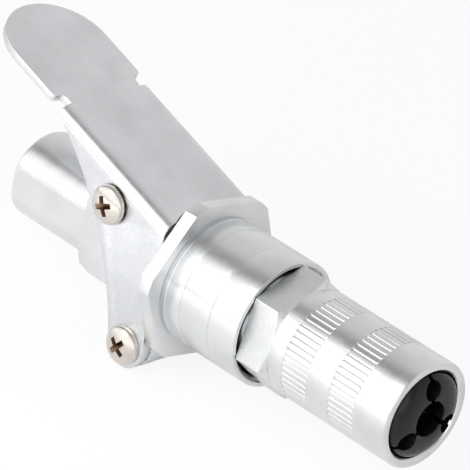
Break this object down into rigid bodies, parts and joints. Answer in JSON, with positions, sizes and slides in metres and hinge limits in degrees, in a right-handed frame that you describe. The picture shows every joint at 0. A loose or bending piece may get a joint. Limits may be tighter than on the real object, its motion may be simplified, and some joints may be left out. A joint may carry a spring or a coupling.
{
  "type": "lever-operated grease coupler",
  "caption": "Steel grease coupler with a bent sheet lever that slides a sprung sleeve forward to open its gripping jaws, and a threaded hose socket at the rear.",
  "frame": {"origin": "on the coupler's axis, in the plane of the hose socket's mouth at the rear end", "axes": "+X along the axis towards the jaws, +Z towards the lever, +Y to the left when looking along +X"},
  "size_m": [0.0898, 0.0264, 0.0387],
  "materials": {
    "zinc_steel": "bright zinc plated, fine turning marks",
    "lever_steel": "satin zinc plated sheet with tumbled scratches",
    "screw_nickel": "warm nickel plated",
    "black_oxide": "oiled black oxide, glossy",
    "spring_steel": "drawn wire",
    "bronze": "sintered bronze",
    "brass": "turned",
    "rubber": "smooth nitrile rubber"
  },
  "bodies": {
    "body": {"rear_body": "zinc_steel", "stem": "zinc_steel", "spring_seat": "zinc_steel", "seat_clip": "spring_steel", "main_spring": "spring_steel", "jaw_ring": "spring_steel", "seal_spring": "spring_steel", "pivot_screw_left": "screw_nickel", "pivot_screw_right": "screw_nickel", "pivot_washer_left": "zinc_steel", "pivot_washer_right": "zinc_steel"},
    "sleeve": {"barrel": "zinc_steel", "guide_bush": "bronze", "nose": "zinc_steel"},
    "jaw_a": {"jaw_1": "black_oxide"},
    "jaw_b": {"jaw_2": "black_oxide"},
    "jaw_c": {"jaw_3": "black_oxide"},
    "seal_unit": {"seal_holder": "brass", "seal": "rubber", "holder_ring": "rubber"},
    "ball": {"check_ball": "spring_steel"},
    "lever": {"lever": "lever_steel", "roller_axle": "zinc_steel", "roller_washer_left": "zinc_steel", "roller_washer_right": "zinc_steel", "lower_screw_left": "screw_nickel", "lower_screw_right": "screw_nickel"},
    "roller": {"roller": "zinc_steel"}
  },
  "joints": [
    {"name": "lever_hinge", "type": "hinge", "parent": "body", "child": "lever", "pos_m": [0.02265, 0, 0.0079], "axis": [0, -1, 0], "range_deg": [0, 17], "stiffness_Nm_per_rad": 0.5, "springref_deg": -11.46},
    {"name": "roller_spin", "type": "hinge", "parent": "lever", "child": "roller", "pos_m": [0.0301, 0, -0.0116], "axis": [0, 1, 0], "continuous": true},
    {"name": "sleeve_slide", "type": "slide", "parent": "body", "child": "sleeve", "axis": [1, 0, 0], "range_m": [0, 0.0054], "deforming": ["main_spring"]},
    {"name": "jaw_a_hinge", "type": "hinge", "parent": "body", "child": "jaw_a", "pos_m": [0.0605, -0.00375, 0.00167], "axis": [0, -0.4067, -0.9135], "range_deg": [0, 1.2]},
    {"name": "jaw_b_hinge", "type": "hinge", "parent": "body", "child": "jaw_b", "pos_m": [0.0605, 0.00043, -0.00408], "axis": [0, 0.9945, 0.1045], "range_deg": [0, 1.2]},
    {"name": "jaw_c_hinge", "type": "hinge", "parent": "body", "child": "jaw_c", "pos_m": [0.0605, 0.00332, 0.00241], "axis": [0, -0.5878, 0.809], "range_deg": [0, 1.2]},
    {"name": "seal_slide", "type": "slide", "parent": "body", "child": "seal_unit", "axis": [-1, 0, 0], "range_m": [0, 0.0006], "stiffness_N_per_m": 2000, "deforming": ["seal_spring"]},
    {"name": "ball_lift", "type": "slide", "parent": "body", "child": "ball", "axis": [1, 0, 0], "range_m": [0, 0.0008], "stiffness_N_per_m": 200}
  ],
  "couplings": [
    {"joint": "sleeve_slide", "follows": "lever_hinge", "m_per_rad": 0.018199},
    {"joint": "jaw_a_hinge", "follows": "lever_hinge", "ratio": 0.07058},
    {"joint": "jaw_b_hinge", "follows": "lever_hinge", "ratio": 0.07058},
    {"joint": "jaw_c_hinge", "follows": "lever_hinge", "ratio": 0.07058}
  ]
}
